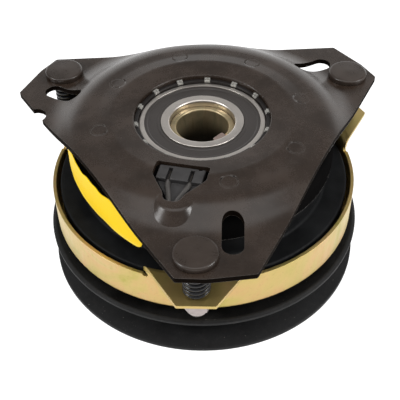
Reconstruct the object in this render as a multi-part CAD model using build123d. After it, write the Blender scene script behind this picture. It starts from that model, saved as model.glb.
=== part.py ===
from build123d import *
import math
import os

os.makedirs("parts", exist_ok=True)

# Electromagnetic clutch and brake, engine-shaft type, standing on its belt pulley.
# Millimetres. +Z is the shaft axis, pointing from the pulley to the field plate.
# Origin: centre of the shaft bore at the lower end of the rotor hub, in the plane the pulley rim stands on.
# Angles named *_deg are measured from -Y, counter-clockwise seen from above.

# ---------------------------------------------------------------- driving dimensions
# shaft bore and rotor hub
bore_r = 12.7            # 1 in shaft
hub_r = 15.875           # 1 1/4 in journal for both bearings
hub_top_z = 74.3
hub_shoulder_r = 19.4
key_w = 6.35             # 1/4 in key
key_deg = 48.0
key_in_r = 9.9
key_out_r = 14.2
key_len = 33.0
relief_r = 13.3          # relief between the plain and the keyed end of the bore
relief_bot_z, relief_top_z = 37.5, 40.2
# ball bearings, 31.75 x 62 x 16
brg_or = 31.0
brg_w = 16.0
brg_ball_r = 4.7625
brg_pitch_r = 23.44
brg_balls = 9
brg_inner_land_r = 20.2
brg_outer_land_r = 26.6
brg_seal_r = 28.24
field_brg_top_z = 77.5
pulley_brg_top_z = 22.5
# field plate
plate_t = 2.66
plate_top_z = 74.3
dome_top_z = 81.3
dome_flat_r = 61.0
dome_foot_r = 73.4
dome_ridge_r = 44.5
dome_ridge_z = 81.85
shoulder_rad, foot_rad = 20.0, 22.0
plate_hole_r = 33.0
plate_hole_z = 80.7
corner_r = 98.4
corner_cw_deg = -4.8
corner_kink_deg = 2.6
corner_ccw_deg = 14.9
stud_pos_r = 86.0
stud_r = 3.97            # 5/16 in
stud_head_r = 9.7
stud_head_t = 2.8
stud_tip_z = 38.6
slot_w = 9.6
slot_l = 21.2
slot_u = 15.2
slot_v = 74.2
notch_r = 5.4
notch_s = 53.2
weld_r = 50.0
weld_deg = -74.6
conn_deg = -10.9
bump_u, bump_v = 1.4, 58.8
bump_base_r, bump_top_r, bump_top_z = 14.2, 7.9, 81.25
# field hub, shell and coil
fhub_or = 35.9
fhub_top_z = 78.7
fhub_bot_z = 50.5
stake_count = 14
stake_deg = 177.1
shell_or = 64.0
shell_t = 2.6
shell_bot_z = 59.4
coil_ir, coil_or = 36.4, 55.0
bobbin_top_z, bobbin_bot_z = 73.9, 50.6
label_rho = 112.0        # plan radius of the bowed label
label_deg = -54.95
label_v, label_u = 65.3, 5.0
label_top_z, label_bot_z = 71.4, 57.4
label_half = 37.0
# rotor
rotor_r = 72.6
rotor_face_z = 39.5
rotor_disc_top_z = 46.5
rotor_rim_ir, rotor_rim_or = 56.0, 60.9
rotor_rim_top_z = 68.5
rotor_core_or = 29.9
rotor_core_top_z = 58.9
# armature
arm_ir, arm_or = 38.0, 72.2
arm_top_z, arm_bot_z = 39.1, 33.1
# brake plate
band_or = 76.2
band_t = 1.6
band_top_z, band_bot_z = 46.6, 27.0
lip_ir = 63.0
ear_top_z = 52.5
ear_end_v = 94.6
ear_end_half = 8.6
ear_slope = 0.657
pad_top_z = 33.05
# compression springs
spring_mean_r, wire_r = 5.15, 1.05
spring_turns = 6.5
# pulley
pulley_r = 79.8          # 6 1/4 in pulley
groove_r = 66.5
web_top_z, web_bot_z = 27.0, 24.0
flange_edge_top, flange_edge_bot = 21.3, 19.6
lower_edge_top = 2.2

CORNERS = (0.0, 120.0, 240.0)


# ---------------------------------------------------------------- helpers
def arc_corner(p0, p1, p2, rad):
    """Tangent points and mid point of an arc of radius rad at corner p1."""
    v0 = (p0[0] - p1[0], p0[1] - p1[1])
    v1 = (p2[0] - p1[0], p2[1] - p1[1])
    l0, l1 = math.hypot(*v0), math.hypot(*v1)
    v0 = (v0[0] / l0, v0[1] / l0)
    v1 = (v1[0] / l1, v1[1] / l1)
    cosang = max(-1.0, min(1.0, v0[0] * v1[0] + v0[1] * v1[1]))
    half = math.acos(cosang) / 2
    d = rad / math.tan(half)
    d = min(d, 0.49 * l0, 0.49 * l1)
    rad = d * math.tan(half)
    a = (p1[0] + v0[0] * d, p1[1] + v0[1] * d)
    b = (p1[0] + v1[0] * d, p1[1] + v1[1] * d)
    bis = (v0[0] + v1[0], v0[1] + v1[1])
    lb = math.hypot(*bis)
    h = rad / math.sin(half)
    c = (p1[0] + bis[0] / lb * h, p1[1] + bis[1] / lb * h)
    m = (c[0] - bis[0] / lb * rad, c[1] - bis[1] / lb * rad)
    return a, m, b


def outline(pts, to3):
    """Closed wire through (x, y[, radius]) corners, each rounded to its radius."""
    n = len(pts)
    P = [(p[0], p[1], p[2] if len(p) > 2 else 0.0) for p in pts]
    segs = []
    for i in range(n):
        p0, p1, p2 = P[i - 1], P[i], P[(i + 1) % n]
        if p1[2] > 0:
            segs.append(arc_corner(p0[:2], p1[:2], p2[:2], p1[2]))
        else:
            segs.append((p1[:2], None, p1[:2]))
    edges = []
    for i in range(n):
        a, m, b = segs[i]
        if m is not None:
            edges.append(ThreePointArc(to3(a), to3(m), to3(b)))
        nxt = segs[(i + 1) % n][0]
        if math.hypot(nxt[0] - b[0], nxt[1] - b[1]) > 1e-6:
            edges.append(Line(to3(b), to3(nxt)))
    return make_face(Wire(edges))


def ring(*pts, arc=360.0):
    """Solid of revolution about Z from an (r, z[, radius]) outline."""
    f = outline(pts, lambda p: (p[0], 0, p[1]))
    return revolve(f, Axis.Z, revolution_arc=arc)


def tube(r0, r1, z0, z1):
    return ring((r0, z0), (r1, z0), (r1, z1), (r0, z1))


def plan(pts, z0, z1):
    """Prism from an (x, y[, radius]) outline between two heights."""
    f = outline(pts, lambda p: (p[0], p[1], z0))
    return extrude(f, amount=z1 - z0, dir=(0, 0, 1))


def rot(obj, deg):
    return Rot(0, 0, deg) * obj


def uv(u, v):
    """Point at tangential u and radial v in the frame that faces -Y."""
    return (u, -v)


def cyl(x, y, r, z0, z1):
    return Pos(x, y, (z0 + z1) / 2) * Cylinder(r, z1 - z0)


def polar(r, deg):
    a = math.radians(deg)
    return (r * math.sin(a), -r * math.cos(a))


def sector(r0, r1, z0, z1, deg_mid, deg_half):
    """Arc block of a ring."""
    f = outline([(r0, z0), (r1, z0), (r1, z1), (r0, z1)], lambda p: (p[0], 0, p[1]))
    s = revolve(f, Axis.Z, revolution_arc=2 * deg_half)
    return rot(s, deg_mid - deg_half - 90)


def banana(r_mid, w, z0, z1, deg_mid, deg_half):
    """Round-ended arc slot cutter."""
    s = sector(r_mid - w / 2, r_mid + w / 2, z0, z1, deg_mid, deg_half)
    for sgn in (-1, 1):
        x, y = polar(r_mid, deg_mid + sgn * deg_half)
        s = s + cyl(x, y, w / 2, z0, z1)
    return s


def fuse(items):
    out = items[0]
    for i in items[1:]:
        out = out + i
    return out


WRITTEN = []


def put(name, *solids):
    """Write one node as one STEP file holding its separate solids."""
    out = []
    for s in solids:
        out.extend(s.solids())
    shape = out[0] if len(out) == 1 else Compound(children=out)
    export_step(shape, "parts/" + name + ".step")
    WRITTEN.append((name, len(out), round(sum(s.volume for s in out))))


# ---------------------------------------------------------------- field plate
under = dome_top_z - plate_t
slope = (dome_top_z - plate_top_z) / (dome_foot_r - dome_flat_r)
sheet = ring(
    (plate_hole_r, plate_hole_z, 0.7),
    (dome_ridge_r, dome_ridge_z, 7.0),
    (51.5, dome_top_z, 20.0),
    (dome_flat_r, dome_top_z, shoulder_rad),
    (dome_foot_r, plate_top_z, foot_rad),
    (120.0, plate_top_z),
    (120.0, plate_top_z - plate_t),
    (dome_foot_r - 0.55, plate_top_z - plate_t, foot_rad + plate_t),
    (dome_flat_r - 0.75, under, shoulder_rad - plate_t),
    (51.5, under, 20.0),
    (dome_ridge_r + 0.2, dome_ridge_z - plate_t, 7.0),
    (plate_hole_r, plate_hole_z - plate_t),
)
tri = []
for c in CORNERS:
    for d, r_ in ((corner_cw_deg, 1.6), (corner_kink_deg, 2.5), (corner_ccw_deg, 1.6)):
        x, y = polar(corner_r, c + d)
        tri.append((x, y, r_))
tri_prism = plan(tri, 60, 95)
cone = ring((0, 71.7), (bump_base_r + 1.6, 71.7), (bump_base_r + 1.6, 72.6), (bump_base_r, plate_top_z, 2.0),
            (bump_top_r, bump_top_z, 2.6), (0, bump_top_z))
cavity = ring((0, 69.0), (bump_base_r - 1.1, 69.0), (bump_base_r - 1.1, plate_top_z - plate_t, 1.0),
              (bump_top_r - 1.1, bump_top_z - plate_t - 0.02, 1.0), (0, bump_top_z - plate_t - 0.02))
bx, by = uv(bump_u, bump_v)
cone = rot(Pos(bx, by, 0) * cone, conn_deg)
cavity = rot(Pos(bx, by, 0) * cavity, conn_deg)
opening_pts = [uv(12.4, 37.4) + (1.2,), uv(-12.4, 37.4) + (1.2,), uv(-12.4, 46.2) + (3.0,), uv(-4.9, 57.0) + (5.0,),
               uv(-3.4, 61.9) + (3.2,), uv(3.4, 61.9) + (3.2,), uv(4.9, 57.0) + (5.0,), uv(12.4, 46.2) + (3.0,)]
opening = rot(plan(opening_pts, 60, 95), conn_deg)
mid = plate_t / 2
below = ring((0, 60), (120.0, 60), (120.0, plate_top_z - mid), (dome_foot_r - 0.28, plate_top_z - mid, foot_rad + mid),
             (dome_flat_r - 0.38, dome_top_z - mid, shoulder_rad - mid), (0, dome_top_z - mid))
plate = (sheet + (cone - below)) - cavity
plate = plate & tri_prism
plate = plate - opening
sx, sy = uv(slot_u, slot_v)
for c in CORNERS:
    slot = plan([uv(slot_u - slot_w / 2, slot_v - slot_l / 2) + (slot_w / 2 * 0.998,), uv(slot_u + slot_w / 2, slot_v - slot_l / 2) + (slot_w / 2 * 0.998,),
                 uv(slot_u + slot_w / 2, slot_v + slot_l / 2) + (slot_w / 2 * 0.998,), uv(slot_u - slot_w / 2, slot_v + slot_l / 2) + (slot_w / 2 * 0.998,)], 60, 95)
    plate = plate - rot(slot, c)
    x, y = polar(stud_pos_r, c)
    plate = plate - cyl(x, y, stud_r + 0.08, 60, 95) - cyl(x, y, stud_head_r + 0.1, plate_top_z, 95)
# anti-rotation notch in the left long edge
side_deg = (corner_cw_deg + (corner_ccw_deg - 120.0)) / 2
side_d = corner_r * math.cos(math.radians((corner_cw_deg - (corner_ccw_deg - 120.0)) / 2))
nx, ny = uv(-notch_s, side_d + 1.3)
plate = plate - rot(cyl(nx, ny, notch_r, 60, 95), side_deg)
# shallow ring marks where the shell is welded on
for k in range(8):
    d = weld_deg + 45 * k
    if abs((d - conn_deg + 180) % 360 - 180) < 20:
        continue
    x, y = polar(weld_r, d)
    mark = Pos(x, y, dome_top_z - 0.07) * (Cylinder(4.3, 0.4, align=(Align.CENTER, Align.CENTER, Align.MIN)) - Cylinder(3.5, 0.4, align=(Align.CENTER, Align.CENTER, Align.MIN)))
    plate = plate - mark
put("field_plate", plate)

# ---------------------------------------------------------------- field hub (inner pole and bearing seat)
fhub = ring((brg_or, fhub_top_z, 0.3), (plate_hole_r - 0.06, fhub_top_z, 0.3), (plate_hole_r - 0.06, plate_hole_z - plate_t - 0.03), (fhub_or, plate_hole_z - plate_t - 0.03), (fhub_or, fhub_bot_z), (30.5, fhub_bot_z), (30.5, 59.4),
            (28.4, 59.4), (28.4, field_brg_top_z - brg_w), (brg_or, field_brg_top_z - brg_w))
for k in range(stake_count):
    d = stake_deg + 360.0 / stake_count * k
    tab = rot(Pos(0, -(brg_or + 0.6 + plate_hole_r - 0.14) / 2, fhub_top_z) * Box(2.9, plate_hole_r - 0.14 - brg_or - 0.6, 1.6), d)
    nick = rot(Pos(0, -(brg_or + 0.9), fhub_top_z + 0.75) * Box(0.6, 0.9, 0.6), d)
    fhub = fhub + tab - nick
put("field_hub", fhub)

# ---------------------------------------------------------------- field shell (outer pole)
shell = ring(
    (fhub_or + 0.02, plate_hole_z - plate_t + 0.05),
    (42.0, under - 0.02, 8.0),
    (dome_flat_r - 8.2, under - 0.02, 6.0),
    (shell_or, 70.2, 5.0),
    (shell_or, shell_bot_z + 0.4),
    (shell_or - 0.35, shell_bot_z),
    (shell_or - shell_t, shell_bot_z),
    (shell_or - shell_t, 70.4, 3.0),
    (dome_flat_r - 9.2, under - shell_t, 4.0),
    (fhub_or + 0.02, under - shell_t),
)
shell_open = rot(plan([uv(11.9, 37.9) + (1.0,), uv(-11.9, 37.9) + (1.0,), uv(-11.9, 46.0) + (3.0,), uv(-5.6, 57.4) + (4.0,),
                       uv(-4.2, 62.6) + (3.0,), uv(4.2, 62.6) + (3.0,), uv(5.6, 57.4) + (4.0,), uv(11.9, 46.0) + (3.0,)], 66, 95), conn_deg)
shell = shell - shell_open
put("field_shell", shell)

# ---------------------------------------------------------------- coil
bobbin = ring((coil_ir, bobbin_top_z), (coil_or, bobbin_top_z, 0.4), (coil_or, bobbin_top_z - 1.6, 0.4), (coil_ir + 1.8, bobbin_top_z - 1.6),
              (coil_ir + 1.8, bobbin_bot_z + 1.6), (coil_or, bobbin_bot_z + 1.6, 0.4), (coil_or, bobbin_bot_z, 0.4), (coil_ir, bobbin_bot_z))
put("coil_bobbin", bobbin)
winding = ring((coil_ir + 1.85, bobbin_bot_z + 1.65, 0.5), (coil_or - 1.6, bobbin_bot_z + 1.65, 0.8), (coil_or - 1.6, bobbin_top_z - 1.65, 0.8), (coil_ir + 1.85, bobbin_top_z - 1.65, 0.5))
put("coil_winding", winding)
wrap = tube(coil_or - 1.55, coil_or - 0.7, bobbin_bot_z + 1.7, bobbin_top_z - 1.7)
put("coil_wrap", wrap)
potting = ring((coil_or + 0.05, 69.2), (shell_or - shell_t - 0.25, 69.2), (shell_or - 4.3, 70.9), (coil_or + 2.5, 72.3), (coil_or + 0.05, 73.6))
lead_way = rot(plan([uv(-6.0, 54.0), uv(6.0, 54.0), uv(6.0, 63.5), uv(-6.0, 63.5)], 64, 80), conn_deg)
potting = potting - lead_way
put("coil_potting", potting)

# ---------------------------------------------------------------- connector
block = plan([uv(10.6, 38.6) + (0.5,), uv(-10.6, 38.6) + (0.5,), uv(-10.6, 47.5) + (0.5,), uv(10.6, 47.5) + (0.5,)], bobbin_top_z, 80.5)
edge = block.edges().group_by(Axis.Z)[-1]
block = chamfer(edge, 0.4)
nose_pts = [uv(9.6, 47.0), uv(-9.6, 47.0), uv(-9.6, 47.6) + (1.0,), uv(-3.2, 56.4) + (3.0,), uv(-2.4, 60.4) + (2.0,), uv(2.4, 60.4) + (2.0,), uv(3.2, 56.4) + (3.0,), uv(9.6, 47.6) + (1.0,)]
nose = plan(nose_pts, 75.55, 80.0)
ramp_f = make_face(Polyline((0, -46.0, 75.0), (0, -46.0, 78.3), (0, -61.5, 76.4), (0, -61.5, 75.0), close=True))
ramp = extrude(ramp_f, amount=12, dir=(1, 0, 0), both=True)
nose = nose & ramp
housing = block + nose
for s in (-1, 1):
    housing = housing - plan([uv(s * 5.0 - 0.95, 40.2), uv(s * 5.0 + 0.95, 40.2), uv(s * 5.0 + 0.95, 48.5), uv(s * 5.0 - 0.95, 48.5)], 78.7, 82)
housing = housing - plan([uv(7.2, 37.0), uv(9.0, 37.0), uv(9.0, 39.6), uv(7.2, 39.6)], 79.2, 82)
term = []
lead = []
for s in (-1, 1):
    term.append(plan([uv(s * 5.0 - 0.4, 40.9), uv(s * 5.0 + 0.4, 40.9), uv(s * 5.0 + 0.4, 46.6), uv(s * 5.0 - 0.4, 46.6)], 76.2, 79.4))
    # lead from the terminal along the nose, over its tip and down beside the coil
    path = FilletPolyline((s * 5.0, -46.4, 78.1), (s * 4.6, -49.6, 78.3), (s * 1.75, -58.6, 77.7), (s * 1.6, -61.2, 76.2), (s * 1.6, -61.3, 72.4), radius=[4.0, 3.0, 1.2])
    sec = Plane(origin=path @ 0, z_dir=path % 0) * Circle(1.2)
    w = sweep(sec, path=path)
    lead.append(w)
    housing = housing - w
    # groove in the ramp under the lead
    wide = sweep(Plane(origin=path @ 0, z_dir=path % 0) * Circle(1.24), path=path)
    housing = housing - wide
    housing = housing - term[-1]
housing = max(housing.solids(), key=lambda q: q.volume)
put("connector_housing", rot(housing, conn_deg))
lead2 = []
for w, t in zip(lead, term):
    lead2.append(w - t)
put("coil_leads", *[rot(w, conn_deg) for w in lead2])
put("connector_terminals", *[rot(t, conn_deg) for t in term])

# ---------------------------------------------------------------- label on the shell, one slack strip
cy = label_v - 0.35 - label_rho
half_ang = math.degrees(math.asin(label_half / label_rho))
lab_f = outline([(label_rho, label_bot_z), (label_rho + 0.35, label_bot_z), (label_rho + 0.35, label_top_z), (label_rho, label_top_z)], lambda p: (p[0], 0, p[1]))
lab = revolve(lab_f, Axis.Z, revolution_arc=2 * half_ang)
lab = Pos(label_u, -cy, 0) * rot(lab, -half_ang - 90)
put("side_label", rot(lab, label_deg))


# ---------------------------------------------------------------- ball bearings
def bearing(top):
    zc = top - brg_w / 2
    zb = top - brg_w
    groove = Pos(0, 0, zc) * Torus(brg_pitch_r, brg_ball_r + 0.07)
    outer = ring((brg_seal_r, zb), (brg_or, zb, 1.0), (brg_or, top, 1.0), (brg_seal_r, top), (brg_seal_r, top - 1.9), (brg_outer_land_r, top - 1.9),
                 (brg_outer_land_r, zb + 1.9), (brg_seal_r, zb + 1.9)) - groove
    inner = ring((hub_r, zb, 0.9), (brg_inner_land_r, zb, 0.3), (brg_inner_land_r, top, 0.3), (hub_r, top, 0.9)) - groove
    balls = []
    cage = tube(21.3, 25.5, zc - 5.9, zc + 5.9)
    for k in range(brg_balls):
        d = 360.0 / brg_balls * k + 7
        x, y = polar(brg_pitch_r, d)
        balls.append(Pos(x, y, zc) * Sphere(brg_ball_r))
        cage = cage - rot(Pos(0, -brg_pitch_r, zc) * Rot(90, 0, 0) * Cylinder(brg_ball_r + 0.1, 8.0), d)
    seals = []
    for z0, s in ((top - 0.45, -1), (zb + 0.45, 1)):
        z1 = z0 + s * 1.25
        seals.append(ring((brg_inner_land_r + 0.2, z0), (brg_inner_land_r + 0.2, z1), (brg_seal_r - 0.03, z1), (brg_seal_r - 0.03, z0),
                          (26.9, z0), (26.4, z0 + s * 0.25), (22.2, z0 + s * 0.25), (21.7, z0)))
    return outer, inner, balls, cage, seals


for name, top in (("field_bearing", field_brg_top_z), ("pulley_bearing", pulley_brg_top_z)):
    o, i, b, c, s = bearing(top)
    put(name + "_outer_ring", o)
    put(name + "_inner_ring", i)
    put(name + "_balls", *b)
    put(name + "_cage", c)
    put(name + "_seals", *s)

# ---------------------------------------------------------------- rotor
rotor = ring(
    (hub_r, rotor_face_z), (rotor_r, rotor_face_z, 0.5), (rotor_r, rotor_disc_top_z, 1.0), (rotor_rim_or + 0.6, rotor_disc_top_z, 1.5), (rotor_rim_or, rotor_disc_top_z + 2.0),
    (rotor_rim_or, rotor_rim_top_z, 0.6), (rotor_rim_ir, rotor_rim_top_z, 0.6), (rotor_rim_ir, rotor_disc_top_z, 1.5),
    (rotor_core_or, rotor_disc_top_z, 1.5), (rotor_core_or, rotor_core_top_z, 0.6), (hub_r, rotor_core_top_z),
)
for k in range(6):
    rotor = rotor - banana(44.0, 3.2, rotor_face_z - 1, rotor_disc_top_z + 1, 60 * k + 12, 23)
for k in range(6):
    rotor = rotor - banana(64.2, 2.6, rotor_face_z - 1, rotor_disc_top_z - 1.2, 60 * k + 42, 24)
rotor = rotor - tube(66.6, 70.6, rotor_face_z - 1, rotor_face_z + 3.0)
put("rotor", rotor)
put("rotor_friction_lining", tube(66.65, 70.55, rotor_face_z, rotor_face_z + 3.0))
hub = ring(
    (bore_r, 0.0), (hub_r, 0.0, 0.8), (hub_r, 4.9), (hub_r - 0.9, 4.9), (hub_r - 0.9, 6.4), (hub_r, 6.4),
    (hub_r, rotor_core_top_z), (hub_shoulder_r, rotor_core_top_z), (hub_shoulder_r, field_brg_top_z - brg_w), (hub_r, field_brg_top_z - brg_w),
    (hub_r, hub_top_z, 1.0), (bore_r, hub_top_z, 0.9),
    (bore_r, relief_top_z), (relief_r, relief_top_z - 0.5), (relief_r, relief_bot_z + 0.5), (bore_r, relief_bot_z),
)
key_blank = Pos(0, -(key_in_r + key_out_r) / 2, hub_top_z - 0.9 - key_len / 2) * Box(key_w, key_out_r - key_in_r, key_len)
key = chamfer(key_blank.edges().filter_by(Axis.Z), 0.35)
key = rot(key, key_deg)
way = rot(Pos(0, -(bore_r - 2 + key_out_r) / 2, hub_top_z / 2) * Box(key_w, key_out_r - bore_r + 2, hub_top_z + 2), key_deg)
hub = hub - way
put("rotor_hub", hub)
put("hub_key", key)
put("bearing_spacer", tube(hub_r + 0.02, hub_shoulder_r, pulley_brg_top_z, rotor_face_z))
snap = ring((hub_r - 0.85, 5.0), (hub_shoulder_r, 5.0, 0.2), (hub_shoulder_r, 6.3, 0.2), (hub_r - 0.85, 6.3))
snap = snap - rot(Pos(0, -18, 5.6) * Box(5.0, 9.0, 4.0), 200)
put("hub_retaining_ring", snap)

# ---------------------------------------------------------------- armature and its leaf springs
arm = ring((arm_ir, arm_bot_z, 0.5), (arm_or, arm_bot_z, 0.8), (arm_or, arm_top_z, 0.5), (arm_ir, arm_top_z, 0.4))
for k in range(3):
    arm = arm - banana(56.5, 3.0, arm_bot_z - 1, arm_top_z + 1, 120 * k + 60, 34)
rivet_r = 2.4
leafs, arm_rivets, pul_rivets, boss = [], [], [], []
leaf_v = 44.0
for k in range(3):
    base = 120 * k + 20
    # strip drawn along X at y = -leaf_v, armature end at +X, pulley end at -X
    prof = [(-21.5, 30.3), (-12.0, 30.3), (9.0, 32.2), (18.5, 32.2), (18.5, 33.1), (9.0, 33.1), (-12.0, 31.2), (-21.5, 31.2)]
    f = make_face(Polyline(*[(x, -leaf_v - 5.5, z) for x, z in prof], close=True))
    strip = extrude(f, amount=11.0, dir=(0, 1, 0))
    ends = plan([(-22.5, -leaf_v - 5.5, 5.0), (-22.5, -leaf_v + 5.5, 5.0), (19.5, -leaf_v + 5.5, 5.0), (19.5, -leaf_v - 5.5, 5.0)], 29, 35)
    strip = strip & ends
    ax, px = 13.0, -16.0
    strip = strip - cyl(ax, -leaf_v, rivet_r, 28, 36) - cyl(px, -leaf_v, rivet_r, 28, 36)
    leafs.append(rot(strip, base))
    arm = arm - rot(cyl(ax, -leaf_v, rivet_r, 30, 42), base)
    arm = arm - rot(Pos(ax, -leaf_v, arm_top_z - 1.2) * Cone(rivet_r, rivet_r + 1.4, 1.2, align=(Align.CENTER, Align.CENTER, Align.MIN)), base)
    # clearance for the pulley rivet head under the armature
    arm = arm - rot(cyl(px, -leaf_v, 5.0, arm_bot_z - 1, arm_bot_z + 2.2), base)
    r1 = cyl(ax, -leaf_v, rivet_r, 31.4, arm_top_z - 0.3) + Pos(ax, -leaf_v, arm_top_z - 1.2) * Cone(rivet_r, rivet_r + 1.05, 0.9, align=(Align.CENTER, Align.CENTER, Align.MIN))
    r1 = r1 + cyl(ax, -leaf_v, 3.9, 30.9, 32.2)
    arm_rivets.append(rot(r1, base))
    boss.append(rot(cyl(px, -leaf_v, 6.2, web_top_z - 1.0, 30.3), base))
    r2 = cyl(px, -leaf_v, rivet_r, web_bot_z - 1.4, 32.6) + cyl(px, -leaf_v, 3.9, 31.2, 32.6) + cyl(px, -leaf_v, 3.9, web_bot_z - 1.4, web_bot_z)
    pul_rivets.append(rot(r2, base))
put("armature", arm)
put("armature_rivets", *arm_rivets)
put("leaf_springs", *leafs)
put("pulley_rivets", *pul_rivets)

# ---------------------------------------------------------------- pulley
pul = ring(
    (28.2, web_top_z - 0.0, 0.6), (61.2, web_top_z, 2.5), (61.6, 18.6, 2.0), (64.6, 17.1, 2.0), (78.2, 22.2, 1.2),
    (pulley_r, flange_edge_top, 0.5), (pulley_r, flange_edge_bot, 0.5),
    (groove_r, 15.5, 1.2), (groove_r, 6.5, 1.2), (pulley_r, lower_edge_top, 0.6), (pulley_r, 0.0, 0.5), (76.8, 0.0, 1.2),
    (65.5, 3.6, 2.5), (62.6, 6.5, 2.5), (62.6, 13.4, 2.0), (58.6, 15.6, 2.0), (58.0, web_bot_z, 2.5),
    (36.6, web_bot_z, 2.5), (36.2, 4.6, 0.6), (brg_or, 4.6, 0.4), (brg_or, pulley_brg_top_z), (28.2, pulley_brg_top_z),
)
pul = pul - tube(brg_or - 0.5, 32.4, 5.1, 6.5)
for b in boss:
    pul = pul + b
for k in range(3):
    base = 120 * k + 20
    pul = pul - rot(cyl(-16.0, -leaf_v, rivet_r, 20, 34), base)
# lightening holes in the web
for k in range(3):
    x, y = polar(47.5, 120 * k + 62)
    pul = pul - cyl(x, y, 6.0, 20, 30)
put("pulley", pul)
circ = ring((29.4, 5.15, 0.2), (32.35, 5.15), (32.35, 6.45), (29.4, 6.45, 0.2)) - rot(Pos(0, -31, 5.8) * Box(6.0, 8.0, 4.0), 150)
put("pulley_bearing_circlip", circ)

# ---------------------------------------------------------------- brake plate: band, inner lip and three ears
band_ir = band_or - band_t
brake = ring((band_or, band_top_z), (band_or, band_bot_z, 1.9), (lip_ir, band_bot_z), (lip_ir, band_bot_z + band_t), (band_ir, band_bot_z + band_t, 1.0), (band_ir, band_top_z))
neck_prof = [(band_ir, band_top_z - 1.0), (band_or, band_top_z - 1.0), (band_or, ear_top_z - band_t, 3.2), (105.0, ear_top_z - band_t), (105.0, ear_top_z), (band_ir, ear_top_z, 4.8)]
neck = rot(revolve(outline(neck_prof, lambda p: (p[0], 0, p[1])), Axis.Z, revolution_arc=60), -30 - 90)


def ear_half(v):
    return ear_end_half + ear_slope * (ear_end_v - v)


ear_plan = plan([uv(ear_half(69.5), 69.5), uv(-ear_half(69.5), 69.5), uv(-ear_end_half, ear_end_v) + (0.8,), uv(ear_end_half, ear_end_v) + (0.8,)], 44, 56)
ear = neck & ear_plan
for c in CORNERS:
    brake = brake + rot(ear, c)
for c in CORNERS:
    x, y = polar(stud_pos_r, c)
    brake = brake - cyl(x, y, 4.3, 45, 56)
    for s in (-1, 1):
        half_deg = math.degrees(math.atan2(ear_half(72.9), 72.9))
        nxx = rot(Pos(0, -(band_or - 0.8), band_top_z + 0.2) * Rot(90, 0, 0) * Cylinder(1.4, 6), c + s * (half_deg + 0.7))
        brake = brake - nxx
put("brake_plate", brake)
pads = []
for k in range(3):
    pads.append(sector(lip_ir + 1.2, arm_or - 0.4, band_bot_z + band_t, pad_top_z, 120 * k + 60, 26))
put("brake_pads", *pads)

# ---------------------------------------------------------------- studs, springs, nuts
studs, springs = [], []
spring_len = (plate_top_z - plate_t) - ear_top_z
for c in CORNERS:
    x, y = polar(stud_pos_r, c)
    head = ring((0, plate_top_z), (stud_head_r, plate_top_z, 0.5), (stud_head_r, plate_top_z + stud_head_t, 1.1), (0, plate_top_z + stud_head_t + 0.25))
    shank = ring((0, stud_tip_z), (stud_r - 0.8, stud_tip_z), (stud_r, stud_tip_z + 0.8), (stud_r, plate_top_z + 0.5), (0, plate_top_z + 0.5))
    studs.append(Pos(x, y, 0) * (head + shank))
    pitch = (spring_len - 2 * wire_r) / spring_turns
    hel = Helix(pitch=pitch, height=spring_len - 2 * wire_r - 0.1, radius=spring_mean_r)
    sec = Plane(origin=hel @ 0, z_dir=hel % 0) * Circle(wire_r)
    coil = sweep(sec, path=hel, is_frenet=True)
    springs.append(Pos(x, y, ear_top_z + wire_r + 0.05) * rot(coil, c))
put("adjusting_studs", *studs)
put("brake_springs", *springs)
nut_top = ear_top_z - band_t
for name, c in (("nut_front", 0.0), ("nut_right", 120.0), ("nut_left", 240.0)):
    x, y = polar(stud_pos_r, c)
    hexa = extrude(Plane.XY.offset(nut_top - 6.6) * RegularPolygon(12.7 / 2, 6, major_radius=False), 6.6)
    hexa = hexa & ring((0, nut_top - 6.6), (6.3, nut_top - 6.6), (7.6, nut_top - 5.8), (7.6, nut_top - 0.7), (6.5, nut_top), (0, nut_top))
    collar = ring((0, nut_top - 10.0), (4.9, nut_top - 10.0, 0.5), (5.7, nut_top - 6.6), (5.7, nut_top - 6.0), (0, nut_top - 6.0))
    nut = (hexa + collar) - Cylinder(stud_r + 0.06, 300)
    put(name, Pos(x, y, 0) * rot(nut, c + 8))

for w in WRITTEN:
    print(*w)
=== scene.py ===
import bpy
import math
import numpy as np
from mathutils import Matrix, Vector


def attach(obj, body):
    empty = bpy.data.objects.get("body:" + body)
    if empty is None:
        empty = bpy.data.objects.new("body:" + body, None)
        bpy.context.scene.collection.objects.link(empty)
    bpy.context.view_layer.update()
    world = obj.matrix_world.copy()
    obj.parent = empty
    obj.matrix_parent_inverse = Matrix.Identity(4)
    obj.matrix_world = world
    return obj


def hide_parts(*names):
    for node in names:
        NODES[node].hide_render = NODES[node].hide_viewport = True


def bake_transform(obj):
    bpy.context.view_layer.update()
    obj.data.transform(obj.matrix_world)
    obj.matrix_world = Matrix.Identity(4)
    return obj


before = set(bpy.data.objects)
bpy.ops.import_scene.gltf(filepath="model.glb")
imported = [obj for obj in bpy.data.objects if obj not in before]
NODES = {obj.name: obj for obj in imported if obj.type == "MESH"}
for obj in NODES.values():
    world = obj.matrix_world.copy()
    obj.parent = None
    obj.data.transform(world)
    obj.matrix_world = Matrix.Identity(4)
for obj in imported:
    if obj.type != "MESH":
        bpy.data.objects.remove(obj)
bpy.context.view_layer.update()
MM = 0.001
TURN = 2.42            # degrees from the part's frame back to the camera's


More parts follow.
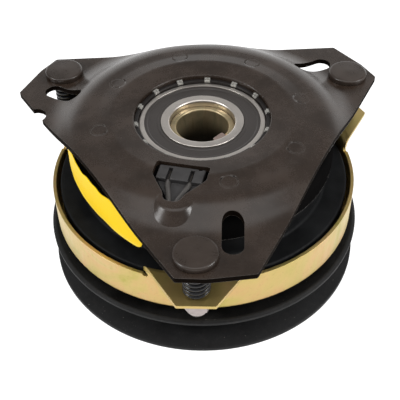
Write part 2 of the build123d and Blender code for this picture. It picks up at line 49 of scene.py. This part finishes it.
# ------------------------------------------------------------------ material helpers
class Mat:
    """A small builder round one node tree. Coordinates are in millimetres of the part's frame."""

    def __init__(self, name):
        self.m = bpy.data.materials.new(name)
        self.m.use_nodes = True
        self.nt = self.m.node_tree
        self.nt.nodes.clear()
        self.out = self.nt.nodes.new("ShaderNodeOutputMaterial")
        self.b = self.nt.nodes.new("ShaderNodeBsdfPrincipled")
        self.nt.links.new(self.b.outputs[0], self.out.inputs[0])
        tc = self.nt.nodes.new("ShaderNodeTexCoord")
        sc = self.nt.nodes.new("ShaderNodeVectorMath")
        sc.operation = "SCALE"
        sc.inputs["Scale"].default_value = 1000.0
        self.nt.links.new(tc.outputs["Object"], sc.inputs[0])
        self.P = sc.outputs[0]
        self._xyz = None
        self.normal = None

    def link(self, a, b):
        self.nt.links.new(a, b)

    def put(self, sock, v):
        if isinstance(v, bpy.types.NodeSocket):
            self.nt.links.new(v, sock)
        else:
            if sock.type == "RGBA" and len(v) == 3:
                v = (*v, 1.0)
            sock.default_value = v

    def set(self, **kw):
        names = {"base": "Base Color", "rough": "Roughness", "metal": "Metallic", "ior": "IOR", "coat": "Coat Weight",
                 "coat_rough": "Coat Roughness", "spec": "Specular IOR Level", "aniso": "Anisotropic", "sheen": "Sheen Weight",
                 "sheen_rough": "Sheen Roughness", "sub": "Subsurface Weight"}
        for k, v in kw.items():
            self.put(self.b.inputs[names[k]], v)
        return self

    def xyz(self):
        if self._xyz is None:
            n = self.nt.nodes.new("ShaderNodeSeparateXYZ")
            self.link(self.P, n.inputs[0])
            self._xyz = n.outputs
        return self._xyz

    def math(self, op, a, b=0.0, c=0.0, clamp=False):
        n = self.nt.nodes.new("ShaderNodeMath")
        n.operation = op
        n.use_clamp = clamp
        self.put(n.inputs[0], a)
        self.put(n.inputs[1], b)
        if op in ("MULTIPLY_ADD", "SMOOTH_MIN", "SMOOTH_MAX", "COMPARE", "WRAP"):
            self.put(n.inputs[2], c)
        return n.outputs[0]

    def radius(self):
        x, y, z = self.xyz()
        return self.math("SQRT", self.math("ADD", self.math("MULTIPLY", x, x), self.math("MULTIPLY", y, y)))

    def range(self, v, a, b, c=0.0, d=1.0, smooth=False):
        n = self.nt.nodes.new("ShaderNodeMapRange")
        n.interpolation_type = "SMOOTHSTEP" if smooth else "LINEAR"
        n.clamp = True
        self.put(n.inputs["Value"], v)
        for k, x in (("From Min", a), ("From Max", b), ("To Min", c), ("To Max", d)):
            self.put(n.inputs[k], x)
        return n.outputs[0]

    def stretch(self, sx, sy, sz, off=(0, 0, 0)):
        n = self.nt.nodes.new("ShaderNodeMapping")
        self.link(self.P, n.inputs[0])
        n.inputs["Scale"].default_value = (sx, sy, sz)
        n.inputs["Location"].default_value = off
        return n.outputs[0]

    def polar(self, kr, ka, kz):
        """Radius, turned angle and height as one vector, for turned or brushed marks that follow the shaft."""
        x, y, z = self.xyz()
        n = self.nt.nodes.new("ShaderNodeCombineXYZ")
        ang = self.math("ARCTAN2", y, x)
        self.put(n.inputs[0], self.math("MULTIPLY", self.radius(), kr))
        self.put(n.inputs[1], self.math("MULTIPLY", ang, ka))
        self.put(n.inputs[2], self.math("MULTIPLY", z, kz))
        return n.outputs[0]

    def noise(self, scale, detail=3.0, rough=0.55, vec=None, dist=0.0):
        n = self.nt.nodes.new("ShaderNodeTexNoise")
        n.inputs["Scale"].default_value = scale
        n.inputs["Detail"].default_value = detail
        n.inputs["Roughness"].default_value = rough
        n.inputs["Distortion"].default_value = dist
        self.link(vec or self.P, n.inputs["Vector"])
        return n.outputs["Fac"]

    def voronoi(self, scale, vec=None, feature="F1", rand=1.0):
        n = self.nt.nodes.new("ShaderNodeTexVoronoi")
        n.feature = feature
        n.inputs["Scale"].default_value = scale
        n.inputs["Randomness"].default_value = rand
        self.link(vec or self.P, n.inputs["Vector"])
        return n.outputs["Distance"]

    def ramp(self, fac, stops, interp="LINEAR"):
        n = self.nt.nodes.new("ShaderNodeValToRGB")
        n.color_ramp.interpolation = interp
        e = n.color_ramp.elements
        while len(e) > 1:
            e.remove(e[-1])
        e[0].position = stops[0][0]
        e[0].color = (*stops[0][1], 1)
        for p, c in stops[1:]:
            q = e.new(p)
            q.color = (*c, 1)
        self.put(n.inputs[0], fac)
        return n.outputs[0]

    def mix(self, fac, a, b, mode="MIX"):
        n = self.nt.nodes.new("ShaderNodeMix")
        n.data_type = "RGBA"
        n.blend_type = mode
        self.put(n.inputs[0], fac)
        self.put(n.inputs[6], a)
        self.put(n.inputs[7], b)
        return n.outputs[2]

    def mixf(self, fac, a, b):
        n = self.nt.nodes.new("ShaderNodeMix")
        n.data_type = "FLOAT"
        self.put(n.inputs[0], fac)
        self.put(n.inputs[2], a)
        self.put(n.inputs[3], b)
        return n.outputs[0]

    def bevel(self, radius_mm):
        n = self.nt.nodes.new("ShaderNodeBevel")
        n.samples = 6
        n.inputs["Radius"].default_value = radius_mm * MM
        self.normal = n.outputs[0]
        return self

    def edge(self, radius_mm=0.5, lo=0.995, hi=0.90):
        """1 along edges, from how far a rounded normal turns from the true one."""
        n = self.nt.nodes.new("ShaderNodeBevel")
        n.samples = 8
        n.inputs["Radius"].default_value = radius_mm * MM
        g = self.nt.nodes.new("ShaderNodeNewGeometry")
        d = self.nt.nodes.new("ShaderNodeVectorMath")
        d.operation = "DOT_PRODUCT"
        self.link(n.outputs[0], d.inputs[0])
        self.link(g.outputs["Normal"], d.inputs[1])
        return self.range(d.outputs["Value"], lo, hi, 0.0, 1.0)

    def upright(self):
        """1 on faces that stand upright."""
        g = self.nt.nodes.new("ShaderNodeNewGeometry")
        n = self.nt.nodes.new("ShaderNodeSeparateXYZ")
        self.link(g.outputs["True Normal"], n.inputs[0])
        return self.range(self.math("ABSOLUTE", n.outputs[2]), 0.45, 0.20, 0.0, 1.0)

    def bump(self, height, strength, dist_mm):
        n = self.nt.nodes.new("ShaderNodeBump")
        n.inputs["Strength"].default_value = strength
        n.inputs["Distance"].default_value = dist_mm * MM
        self.put(n.inputs["Height"], height)
        if self.normal is not None:
            self.link(self.normal, n.inputs["Normal"])
        self.normal = n.outputs[0]
        return self

    def done(self):
        if self.normal is not None:
            self.link(self.normal, self.b.inputs["Normal"])
        return self.m


def steel(name, base=(0.62, 0.60, 0.58), rough=0.28, turned=True, tint=None, bevel=0.25, mark=0.5):
    """Ground or turned steel: fine marks round the shaft, faint stains."""
    m = Mat(name)
    m.bevel(bevel)
    marks = m.noise(1.0, 4, 0.65, vec=m.polar(2.2, 1.5, 2.2) if turned else m.stretch(0.5, 0.5, 0.5))
    stain = m.noise(0.09, 3, 0.6)
    dark = tuple(c * 0.62 for c in base)
    c = m.mix(m.range(stain, 0.35, 0.7, 0.0, mark), base, tint or dark)
    c = m.mix(m.range(marks, 0.3, 0.75, 0.0, 0.35), c, dark)
    m.set(base=c, metal=1.0, rough=m.range(marks, 0.3, 0.7, rough * 0.8, rough * 1.3))
    m.bump(marks, 0.25, 0.02)
    return m.done()


def black_paint(name, base=(0.016, 0.014, 0.013), rough=0.34, peel=0.35, coat=0.0, dust=0.0, bevel=0.35, speck=0.0, wear_and_edge_highlight=0.25, wear_and_edge_highlight_col=(0.22, 0.20, 0.18), patch=0.25, spec=0.5, sides=0.0, edge_mm=0.55, valley=0.0):
    m = Mat(name)
    m.bevel(bevel)
    fine = m.noise(1.6, 4, 0.6)
    broad = m.noise(0.06, 4, 0.6)
    c = m.mix(m.range(broad, 0.35, 0.7), base, tuple(min(1, v * 1.7 + 0.004) for v in base))
    if dust:
        d = m.noise(0.35, 5, 0.7)
        c = m.mix(m.range(d, 0.5, 0.78, 0.0, dust), c, (0.16, 0.14, 0.125))
    if speck:
        v = m.voronoi(0.55)
        k = m.range(v, 0.10, 0.05, 0.0, speck)
        pick = m.range(m.noise(0.25, 2, 0.5), 0.52, 0.60, 0.0, 1.0)
        c = m.mix(m.math("MULTIPLY", k, pick), c, (0.38, 0.35, 0.32))
    if wear_and_edge_highlight:
        # edge colour: partly paint worn off the edges, partly a painted highlight along them
        e = m.edge(edge_mm)
        w = m.math("MULTIPLY", e, m.range(m.noise(0.4, 3, 0.6), 0.35, 0.6, 0.35, 1.0))
        c = m.mix(m.math("MULTIPLY", w, wear_and_edge_highlight), c, wear_and_edge_highlight_col)
    if sides:
        # painted shade: upright cut edges are darkened and turned into dark metal so they read as shaded, apart from
        # the upper corner, which keeps the painted edge highlight
        side = m.math("MULTIPLY", m.upright(), m.range(m.radius(), 52.0, 54.0))
        if wear_and_edge_highlight:
            side = m.math("MULTIPLY", side, m.range(e, 0.05, 0.5, 1.0, 0.0))
        c = m.mix(side, c, tuple(v * 0.55 for v in base))
        m.set(metal=m.math("MULTIPLY", side, sides))
    matt = m.range(m.math("ADD", m.math("MULTIPLY", fine, 0.4), m.math("MULTIPLY", broad, 0.6)), 0.35, 0.65, rough * (1 - patch), rough * (1 + patch))
    if sides:
        matt = m.math("MINIMUM", m.math("ADD", matt, m.math("MULTIPLY", side, 0.75)), 1.0)
    m.set(base=c, rough=matt, spec=spec)
    if coat:
        m.set(coat=coat, coat_rough=0.12)
    m.bump(fine, peel, 0.05)
    if valley:
        # metal drawn in round the foot of the cable bulge
        x, y, z = m.xyz()
        dx, dy = m.math("ADD", x, 9.74), m.math("ADD", y, 58.0)
        r = m.math("SQRT", m.math("ADD", m.math("MULTIPLY", dx, dx), m.math("MULTIPLY", dy, dy)))
        front = m.range(y, -56.0, -64.0, 0.0, 1.0, smooth=True)
        rise = m.math("MULTIPLY", m.range(r, 13.2, 20.5, 0.0, 1.0, smooth=True), front)
        m.bump(rise, valley, 2.4)
    return m.done()


def zinc(name, ramp, rough=0.34, scale=0.05, bevel=0.4, wave=0.35, dull=0.0, painted_bore_shade=False):
    """Yellow passivated zinc: colour drifts between gold, pink and green, with soft upright streaks and small dull spots."""
    m = Mat(name)
    m.bevel(bevel)
    drift = m.noise(1.0, 3, 0.55, vec=m.polar(0.01, 3.2, 0.045), dist=0.8)
    streak = m.noise(1.0, 4, 0.6, vec=m.polar(0.05, 30.0, 0.10))
    spots = m.noise(0.7, 3, 0.6)
    f = m.math("ADD", m.math("MULTIPLY", drift, 0.9), m.math("MULTIPLY", streak, 0.1))
    c = m.ramp(m.range(f, 0.30, 0.70), ramp)
    c = m.mix(m.range(spots, 0.60, 0.78, 0.0, 0.35), c, tuple(v * 0.6 for v in ramp[len(ramp) // 2][1]))
    if painted_bore_shade:
        # painted shade: darker further down the bore
        c = m.mix(m.range(m.xyz()[2], 70.0, 57.0, 0.0, 0.92, smooth=True), c, (0.02, 0.018, 0.014))
    r = m.math("ADD", m.range(streak, 0.3, 0.7, rough * 0.85, rough * 1.25), m.range(spots, 0.55, 0.8, 0.0, 0.12 + dull))
    m.set(base=c, metal=0.82, rough=r, spec=0.4)
    m.bump(m.noise(0.10, 2, 0.5), wave, 0.15)
    m.bump(m.noise(2.4, 3, 0.6), 0.15, 0.02)
    return m.done()


GOLD = [(p, tuple(k * v for k, v in zip((0.84, 0.82, 0.80), c))) for p, c in [(0.0, (0.50, 0.45, 0.10)), (0.25, (0.63, 0.51, 0.17)), (0.5, (0.69, 0.52, 0.20)), (0.72, (0.72, 0.49, 0.21)), (0.88, (0.70, 0.53, 0.23)), (1.0, (0.57, 0.48, 0.13))]]
TAN = [(0.0, (0.30, 0.25, 0.15)), (0.35, (0.42, 0.35, 0.21)), (0.7, (0.48, 0.38, 0.23)), (1.0, (0.38, 0.30, 0.17))]

M = {}
M["plate"] = black_paint("plate_coat", base=(0.0200, 0.0128, 0.0088), rough=0.27, peel=0.16, dust=0.06, wear_and_edge_highlight=0.4, patch=0.2, spec=0.42, sides=1.0, edge_mm=0.22, valley=0.0)
M["stud"] = black_paint("stud_coat", base=(0.0215, 0.0145, 0.0105), rough=0.30, peel=0.2, dust=0.06, wear_and_edge_highlight=0.25, spec=0.45)
M["rotor"] = black_paint("rotor_paint", base=(0.0045, 0.0048, 0.0052), rough=0.50, peel=0.3, wear_and_edge_highlight=0.0, spec=0.10, bevel=0.2)
M["pulley"] = black_paint("pulley_paint", base=(0.0052, 0.0052, 0.0055), rough=0.60, peel=0.9, dust=0.05, speck=0.5, wear_and_edge_highlight=0.3, wear_and_edge_highlight_col=(0.13, 0.12, 0.115), bevel=0.3, spec=0.22)
M["spring"] = black_paint("spring_lacquer", base=(0.004, 0.004, 0.005), rough=0.24, peel=0.15, wear_and_edge_highlight=0.0, coat=0.0, bevel=0.1, spec=0.4)
M["circlip"] = black_paint("circlip_phosphate", base=(0.02, 0.02, 0.02), rough=0.35, peel=0.3, wear_and_edge_highlight=0.3)
M["bearing"] = steel("bearing_steel", base=(0.72, 0.67, 0.62), rough=0.34, bevel=0.4)
M["ball"] = steel("ball_steel", base=(0.75, 0.75, 0.76), rough=0.08, turned=False, mark=0.1)
M["cage"] = steel("cage_steel", base=(0.5, 0.49, 0.47), rough=0.3)
M["bare"] = steel("bare_steel", base=(0.48, 0.46, 0.44), rough=0.35)
M["zinc"] = steel("nut_zinc", base=(0.42, 0.365, 0.35), rough=0.33, turned=False, mark=0.35)
M["key"] = steel("key_steel", base=(0.55, 0.42, 0.37), rough=0.36, turned=False, mark=0.4)
M["band"] = zinc("brake_plate_zinc", GOLD)
M["sleeve"] = zinc("rotor_hub_zinc", TAN, rough=0.36, wave=0.1, painted_bore_shade=True)


def shell_paint():
    """Black shell with its lower edge turned bright."""
    m = Mat("shell_paint")
    m.bevel(0.3)
    x, y, z = m.xyz()
    fine = m.noise(1.4, 4, 0.6)
    ragged = m.math("ADD", z, m.math("MULTIPLY", m.math("SUBTRACT", m.noise(0.5, 3, 0.6), 0.5), 0.5))
    bare = m.range(ragged, 59.95, 59.70, 0.0, 1.0)
    c = m.mix(bare, m.mix(m.noise(0.08, 3), (0.003, 0.003, 0.003), (0.006, 0.0055, 0.0055)), (0.60, 0.57, 0.54))
    m.set(base=c, metal=bare, rough=m.mixf(bare, m.range(fine, 0.3, 0.7, 0.42, 0.55), 0.35), spec=0.0)
    m.bump(fine, 0.25, 0.05)
    return m.done()


def rubber_seal():
    m = Mat("seal_rubber")
    m.bevel(0.2)
    fine = m.noise(1.0, 3, 0.6, vec=m.polar(3.0, 6.0, 3.0))
    c = m.mix(m.noise(0.12, 3), (0.024, 0.0195, 0.0175), (0.036, 0.030, 0.027))
    m.set(base=c, rough=m.range(fine, 0.3, 0.7, 0.36, 0.50), spec=0.5)
    m.bump(fine, 0.25, 0.03)
    return m.done()


def moulded(name, base, rough=0.45, bump=0.35):
    m = Mat(name)
    m.bevel(0.3)
    fine = m.noise(2.2, 3, 0.6)
    broad = m.noise(0.2, 3, 0.6)
    c = m.mix(m.range(broad, 0.35, 0.7), base, tuple(min(1, v * 1.5 + 0.004) for v in base))
    m.set(base=c, rough=m.range(fine, 0.3, 0.7, rough * 0.85, rough * 1.15))
    m.bump(fine, bump, 0.05)
    return m.done()


def copper():
    m = Mat("winding_enamel")
    turns = m.math("SINE", m.math("MULTIPLY", m.xyz()[2], 2 * math.pi / 0.8))
    c = m.mix(m.noise(0.3, 3), (0.42, 0.15, 0.06), (0.55, 0.22, 0.10))
    m.set(base=c, metal=0.7, rough=0.3, coat=0.6)
    m.bump(turns, 0.8, 0.15)
    return m.done()


def label_film():
    m = Mat("label_film")
    m.bevel(0.15)
    x, y, z = m.xyz()
    fine = m.noise(0.9, 3, 0.6)
    broad = m.noise(0.05, 3, 0.6)
    c = m.mix(m.range(broad, 0.35, 0.7), (0.92, 0.62, 0.006), (0.86, 0.58, 0.008))
    # paler along the lower edge, with a few scuffs
    low = m.range(z, 59.6, 57.6, 0.0, 0.55)
    c = m.mix(low, c, (0.93, 0.68, 0.12))
    scuff = m.range(m.noise(0.5, 5, 0.75, vec=m.stretch(0.3, 0.3, 1.4)), 0.62, 0.74, 0.0, 0.35)
    c = m.mix(scuff, c, (0.72, 0.46, 0.05))
    m.set(base=c, rough=m.range(fine, 0.3, 0.7, 0.40, 0.52), spec=0.12)
    m.bump(m.noise(0.12, 2, 0.5), 0.3, 0.25)
    m.bump(fine, 0.12, 0.03)
    return m.done()


def sleeve_lead():
    m = Mat("lead_sleeve")
    fine = m.noise(2.5, 3, 0.6)
    c = m.mix(m.noise(0.3, 3), (0.050, 0.046, 0.043), (0.080, 0.074, 0.069))
    m.set(base=c, rough=m.range(fine, 0.3, 0.7, 0.30, 0.42))
    m.bump(fine, 0.3, 0.04)
    return m.done()


def friction():
    m = Mat("friction_lining")
    m.bevel(0.25)
    grain = m.voronoi(1.1)
    fine = m.noise(1.4, 5, 0.7)
    c = m.mix(m.range(grain, 0.1, 0.6), (0.13, 0.10, 0.075), (0.055, 0.045, 0.038))
    c = m.mix(m.range(fine, 0.6, 0.72, 0.0, 0.5), c, (0.35, 0.26, 0.14))
    m.set(base=c, rough=0.85)
    m.bump(fine, 0.7, 0.15)
    return m.done()


def hub_coat():
    """Black field hub with the bright stake marks round its bearing seat."""
    m = Mat("field_hub_coat")
    m.bevel(0.2)
    x, y, z = m.xyz()
    fine = m.noise(1.6, 4, 0.6)
    a = m.math("MULTIPLY", m.math("ARCTAN2", x, m.math("MULTIPLY", y, -1.0)), 180.0 / math.pi)
    off = m.math("ABSOLUTE", m.math("WRAP", m.math("SUBTRACT", a, 177.1), 180.0 / 14, -180.0 / 14))
    ragged = m.math("ADD", off, m.math("MULTIPLY", m.math("SUBTRACT", m.noise(1.3, 3, 0.6), 0.5), 0.9))
    hit = m.math("MULTIPLY", m.range(ragged, 2.75, 2.45, 0.0, 1.0), m.math("MULTIPLY", m.range(z, 77.6, 77.9), m.range(m.radius(), 33.2, 33.0, 0.0, 1.0)))
    pit = m.math("MULTIPLY", m.range(m.noise(1.1, 3, 0.6), 0.50, 0.62, 0.0, 0.55), hit)
    c = m.mix(m.noise(0.2, 3), (0.0095, 0.0075, 0.0068), (0.016, 0.013, 0.012))
    c = m.mix(hit, c, (0.40, 0.39, 0.36))
    c = m.mix(pit, c, (0.09, 0.085, 0.08))
    m.set(base=c, metal=m.math("MULTIPLY", hit, 0.35), rough=m.range(fine, 0.3, 0.7, 0.34, 0.48), spec=0.3)
    m.bump(fine, 0.2, 0.05)
    return m.done()


M["hub"] = hub_coat()
M["shell"] = shell_paint()
M["seal"] = rubber_seal()
M["nylon"] = moulded("connector_nylon", (0.024, 0.0225, 0.0225), 0.36)
M["resin"] = moulded("potting_resin", (0.03, 0.03, 0.03), 0.35)
M["tape"] = moulded("coil_tape", (0.30, 0.22, 0.09), 0.5)
M["terminal"] = steel("terminal_brass", base=(0.075, 0.066, 0.058), rough=0.4, turned=False)
M["copper"] = copper()
M["label"] = label_film()
M["lead"] = sleeve_lead()
M["friction"] = friction()

LOOK = {
    "field_plate": "plate", "field_hub": "hub", "field_shell": "shell", "coil_bobbin": "nylon", "coil_winding": "copper", "coil_wrap": "tape",
    "coil_potting": "resin", "connector_housing": "nylon", "connector_terminals": "terminal", "coil_leads": "lead", "side_label": "label",
    "adjusting_studs": "stud", "field_bearing_outer_ring": "bearing", "field_bearing_inner_ring": "bearing", "field_bearing_seals": "seal",
    "field_bearing_balls": "ball", "field_bearing_cage": "cage", "pulley_bearing_outer_ring": "bearing", "pulley_bearing_inner_ring": "bearing",
    "pulley_bearing_seals": "seal", "pulley_bearing_balls": "ball", "pulley_bearing_cage": "cage", "rotor": "rotor", "rotor_friction_lining": "friction",
    "rotor_hub": "sleeve", "hub_key": "key", "bearing_spacer": "bare", "hub_retaining_ring": "circlip", "armature": "bare", "armature_rivets": "zinc",
    "leaf_springs": "bare", "pulley_rivets": "zinc", "pulley": "pulley", "pulley_bearing_circlip": "circlip", "brake_plate": "band",
    "brake_pads": "friction", "brake_springs": "spring", "nut_front": "zinc", "nut_right": "zinc", "nut_left": "zinc",
}
for name, obj in NODES.items():
    obj.data.materials.clear()
    obj.data.materials.append(M[LOOK[name]])


# ------------------------------------------------------------------ mesh helpers
def mesh_object(name, verts, faces, mat, smooth=True):
    me = bpy.data.meshes.new(name)
    me.from_pydata([tuple(v) for v in verts], [], faces)
    me.validate()
    me.update()
    if smooth:
        me.polygons.foreach_set("use_smooth", [True] * len(me.polygons))
    me.materials.append(mat)
    o = bpy.data.objects.new(name, me)
    bpy.context.scene.collection.objects.link(o)
    return o


def tube_along(path, radius, sides=16, flat_ends=None):
    """Vertices and faces of a capped tube along a list of points. radius may be a number or a list."""
    path = [Vector(p) for p in path]
    n = len(path)
    rad = radius if isinstance(radius, (list, tuple, np.ndarray)) else [radius] * n
    tan = []
    for i in range(n):
        a, b = path[max(i - 1, 0)], path[min(i + 1, n - 1)]
        tan.append((b - a).normalized())
    up = Vector((0, 0, 1))
    if abs(tan[0].dot(up)) > 0.9:
        up = Vector((1, 0, 0))
    side = (up - tan[0] * up.dot(tan[0])).normalized()
    verts, faces = [], []
    for i in range(n):
        side = (side - tan[i] * side.dot(tan[i])).normalized()
        other = tan[i].cross(side)
        for k in range(sides):
            t = 2 * math.pi * k / sides
            verts.append(path[i] + (side * math.cos(t) + other * math.sin(t)) * rad[i])
    for i in range(n - 1):
        for k in range(sides):
            a, b = i * sides + k, i * sides + (k + 1) % sides
            faces.append((a, b, b + sides, a + sides))
    faces.append(tuple(range(sides))[::-1])
    faces.append(tuple((n - 1) * sides + k for k in range(sides)))
    return verts, faces


def at(r, deg, z):
    a = math.radians(deg)
    return Vector((r * math.sin(a) * MM, -r * math.cos(a) * MM, z * MM))


CORNERS = (("front", 0.0, "field"), ("right", 120.0, "field"), ("left", 240.0, "field"))
STUD_R, EAR_TOP, PLATE_LOW = 86.0, 52.5, 71.64

# ------------------------------------------------------------------ brake springs: closed and ground ends, stretching between ear and plate
for i, (tag, deg, _) in enumerate(CORNERS):
    centre = at(STUD_R, deg, 0)
    wire, mean = 1.04, 5.15
    turns, z0, z1 = 7.6, EAR_TOP + wire * 0.62, PLATE_LOW - wire * 0.62
    steps = 46
    total = int(turns * steps)
    pts = []
    for k in range(total + 1):
        t = k / total * turns
        # dead coil at each end, even pitch between
        dead = 0.9
        rise = 2 * wire * 0.98
        lead_in = min(t, dead) * rise
        lead_out = max(0.0, t - (turns - dead)) * rise
        mid = min(max(t - dead, 0.0), turns - 2 * dead) / (turns - 2 * dead) * ((z1 - z0) - 2 * dead * rise)
        a = 2 * math.pi * t + math.radians(deg) + 0.8
        pts.append(centre + Vector((mean * MM * math.cos(a), mean * MM * math.sin(a), (z0 + lead_in + mid + lead_out) * MM)))
    v, f = tube_along(pts, wire * MM, 14)
    # ground flats
    v = [Vector((p.x, p.y, min(max(p.z, (EAR_TOP + 0.01) * MM), (PLATE_LOW - 0.01) * MM))) for p in v]
    o = mesh_object("brake_spring_" + tag, v, f, M["spring"])
    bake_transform(o)
    if i == 0:
        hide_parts("brake_springs")

# ------------------------------------------------------------------ leaf springs: thin formed strips that bend between pulley and armature
for i, base in enumerate((20.0, 140.0, 260.0)):
    turn = Matrix.Rotation(math.radians(base), 4, "Z")
    leaf_v = 44.0
    cols, rows = 60, 8
    half, xa, xb, th = 5.5, -22.5, 19.5, 0.9
    verts, faces = [], []

    def z_of(x):
        t = min(max((x + 12.0) / 21.0, 0.0), 1.0)
        return 30.3 + 1.9 * (t * t * (3 - 2 * t))

    for layer in (0, 1):
        for a in range(cols + 1):
            x = xa + (xb - xa) * a / cols
            # rounded ends
            d = min(x - xa, xb - x)
            w = half if d >= 5.0 else math.sqrt(max(0.0, 5.0 ** 2 - (5.0 - d) ** 2)) + 0.5
            for b in range(rows + 1):
                y = -leaf_v - w + 2 * w * b / rows
                verts.append(turn @ (Vector((x, y, z_of(x) + th * layer)) * MM))
    n1 = (cols + 1) * (rows + 1)
    for a in range(cols):
        for b in range(rows):
            p = a * (rows + 1) + b
            q = p + rows + 1
            faces.append((p, p + 1, q + 1, q))
            faces.append((p + n1, q + n1, q + 1 + n1, p + 1 + n1))
    for a in range(cols):
        for b in (0, rows):
            p = a * (rows + 1) + b
            q = p + rows + 1
            faces.append((p, q, q + n1, p + n1) if b == 0 else (q, p, p + n1, q + n1))
    for b in range(rows):
        for a in (0, cols):
            p = a * (rows + 1) + b
            faces.append((p + 1, p, p + n1, p + 1 + n1) if a == 0 else (p, p + 1, p + 1 + n1, p + n1))
    o = mesh_object("leaf_spring_%d" % (i + 1), verts, faces, M["bare"], smooth=False)
    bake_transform(o)
    if i == 0:
        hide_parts("leaf_springs")

# ------------------------------------------------------------------ slack yellow strip round the front left of the shell
LABEL = [(-84.2, 66.7), (-75.9, 65.2), (-65.0, 64.5), (-51.8, 64.6), (-39.9, 66.0), (-30.6, 68.2), (-24.3, 70.2), (-17.8, 71.9)]


def lerp_table(tab, x):
    if x <= tab[0][0]:
        return tab[0][1]
    for (x0, y0), (x1, y1) in zip(tab, tab[1:]):
        if x <= x1:
            t = (x - x0) / (x1 - x0)
            return y0 + (y1 - y0) * t
    return tab[-1][1]


def smooth_table(tab, x, h=3.0):
    return sum(lerp_table(tab, x + d * h) * w for d, w in ((-1, 0.15), (-0.5, 0.2), (0, 0.3), (0.5, 0.2), (1, 0.15)))


LAB_LO = 57.45
cols, rows, th = 150, 26, 0.32
verts, faces = [], []
a0, a1 = -84.2, -20.0
for layer in (0, 1):
    for i in range(cols + 1):
        deg = a0 + (a1 - a0) * i / cols
        r = smooth_table(LABEL, deg)
        arc_left = (a1 - deg) * math.pi / 180 * 66.5
        # rounded lower right corner, and an upper edge that waves a little
        lo_z = LAB_LO
        rc = 3.6
        if arc_left < rc:
            lo_z += rc - math.sqrt(max(0.0, rc ** 2 - (rc - arc_left) ** 2))
        top = 74.9 - 2.2 * max(0.0, min(1.0, (r - 66.0) / 3.5)) + 0.45 * math.sin(deg * 0.35) + 0.3 * math.sin(deg * 0.83 + 1.0)
        if arc_left < rc:
            top -= (rc - math.sqrt(max(0.0, rc ** 2 - (rc - arc_left) ** 2))) * 0.6
        for j in range(rows + 1):
            t = j / rows
            z = lo_z + (top - lo_z) * t
            wave = 0.12 * math.sin(deg * 0.33 + t * 2.0) + 0.10 * math.sin(deg * 0.17 - t * 3.1)
            rr = r + wave * (0.25 if r < 65.6 else 0.8) - 1.0 * t * max(0.0, min(1.0, (r - 65.6) / 2.0)) + th * layer
            verts.append(at(rr, deg, z))
n1 = (cols + 1) * (rows + 1)
for i in range(cols):
    for j in range(rows):
        p = i * (rows + 1) + j
        q = p + rows + 1
        faces.append((p, p + 1, q + 1, q))
        faces.append((p + n1, q + n1, q + 1 + n1, p + 1 + n1))
for i in range(cols):
    for j in (0, rows):
        p = i * (rows + 1) + j
        q = p + rows + 1
        faces.append((p, q, q + n1, p + n1) if j == 0 else (q, p, p + n1, q + n1))
for j in range(rows):
    for i in (0, cols):
        p = i * (rows + 1) + j
        faces.append((p + 1, p, p + n1, p + 1 + n1) if i == 0 else (p, p + 1, p + 1 + n1, p + n1))
lab = mesh_object("side_strip", verts, faces, M["label"])
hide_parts("side_label")
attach(lab, "field")

# ------------------------------------------------------------------ floor
bpy.ops.mesh.primitive_plane_add(size=6.0, location=(0, 0, 0))
floor = bpy.context.object
floor.name = "studio_floor"
fm = Mat("studio_floor")
fm.set(base=(0.30, 0.30, 0.30), rough=0.9, spec=0.05)
fm.b.inputs["Emission Color"].default_value = (1, 1, 1, 1)
fm.b.inputs["Emission Strength"].default_value = 0.97
floor.data.materials.append(fm.done())

# ------------------------------------------------------------------ world and lights
world = bpy.data.worlds.new("studio")
bpy.context.scene.world = world
world.use_nodes = True
bg = world.node_tree.nodes["Background"]
bg.inputs[0].default_value = (1, 1, 1, 1)
bg.inputs[1].default_value = 0.34


def area(name, loc, target, size, power, size_y=None, color=(1, 1, 1)):
    d = bpy.data.lights.new(name, "AREA")
    d.energy = power
    d.color = color
    d.shape = "RECTANGLE" if size_y else "SQUARE"
    d.size = size
    if size_y:
        d.size_y = size_y
    o = bpy.data.objects.new(name, d)
    bpy.context.scene.collection.objects.link(o)
    o.location = loc
    o.rotation_euler = (Vector(target) - Vector(loc)).to_track_quat("-Z", "Y").to_euler()
    return o


area("overhead", (0.0, -0.30, 1.35), (0, 0, 0.07), 1.7, 9.0, size_y=1.1)
area("side_left", (-0.89, -0.31, 0.63), (0, 0, 0.07), 0.36, 5.0)
area("side_right", (0.89, -0.27, 0.61), (0, 0, 0.07), 0.36, 5.8)
area("wall", (0.0, 1.55, 0.42), (0, 0, 0.10), 3.0, 8.0, size_y=0.80)

# ------------------------------------------------------------------ camera
yaw, pitch, roll = -0.006, 0.762, -0.021
fwd = Vector((math.sin(yaw) * math.cos(pitch), math.cos(yaw) * math.cos(pitch), -math.sin(pitch)))
right = Vector((math.cos(yaw), -math.sin(yaw), 0))
up = right.cross(fwd)
r2 = right * math.cos(roll) + up * math.sin(roll)
u2 = up * math.cos(roll) - right * math.sin(roll)
turn = Matrix.Rotation(math.radians(TURN), 3, "Z")
R = Matrix((turn @ r2, turn @ u2, turn @ (-fwd))).transposed()
cam = bpy.data.cameras.new("camera")
cam.sensor_width = 36.0
cam.lens = 36.0 * 791.116 / 400.0
cam.clip_start, cam.clip_end = 0.01, 20.0
co = bpy.data.objects.new("camera", cam)
bpy.context.scene.collection.objects.link(co)
pos = turn @ Vector((-0.096, -303.965, 236.6))
pos.z += 77.5
co.matrix_world = Matrix.Translation(pos * MM) @ R.to_4x4()
bpy.context.scene.camera = co
bpy.context.scene.view_settings.view_transform = "Standard"
